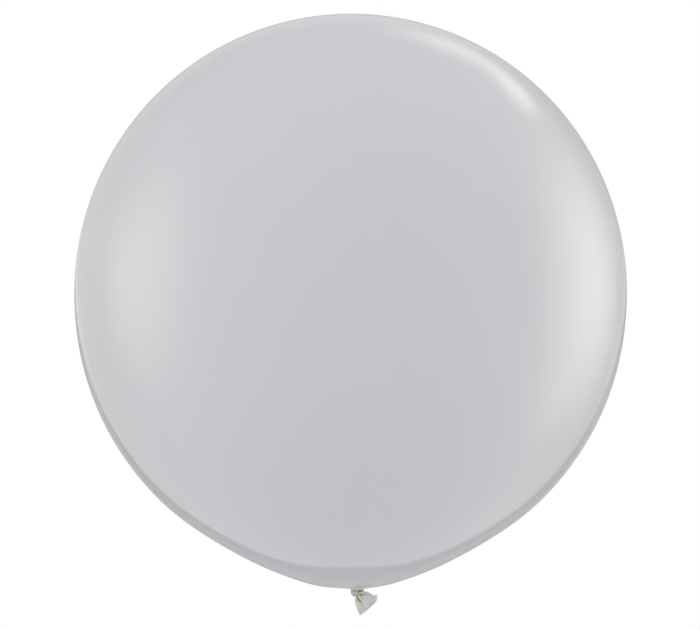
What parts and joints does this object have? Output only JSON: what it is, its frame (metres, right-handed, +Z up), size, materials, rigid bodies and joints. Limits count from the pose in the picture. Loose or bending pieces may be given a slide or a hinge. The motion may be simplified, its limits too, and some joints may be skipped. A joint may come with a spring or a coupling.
{
  "type": "giant latex balloon",
  "caption": "Large round latex balloon, inflated and closed with a knot in its own neck, with a flattened tail that ends in a rolled lip.",
  "frame": {"origin": "centre of the neck where it leaves the inflated body, the place where a ribbon would be tied", "axes": "+Z up from the neck through the body towards the crown; +X to the right and the tail's side as seen from the front; +Y away from the front"},
  "size_m": [0.914, 0.914, 0.9959],
  "materials": {
    "latex_skin": "smooth inflated latex, soft gloss",
    "latex_gathered": "pleated unstretched latex, satin",
    "latex_knot": "folded unstretched latex, satin",
    "latex_tail": "creased unstretched latex, satin",
    "latex_bead": "rolled latex rim, satin"
  },
  "bodies": {
    "root": {"envelope": "latex_skin", "neck_gather": "latex_gathered", "knot_loop": "latex_knot", "tail": "latex_tail", "lip_bead": "latex_bead"}
  },
  "joints": []
}
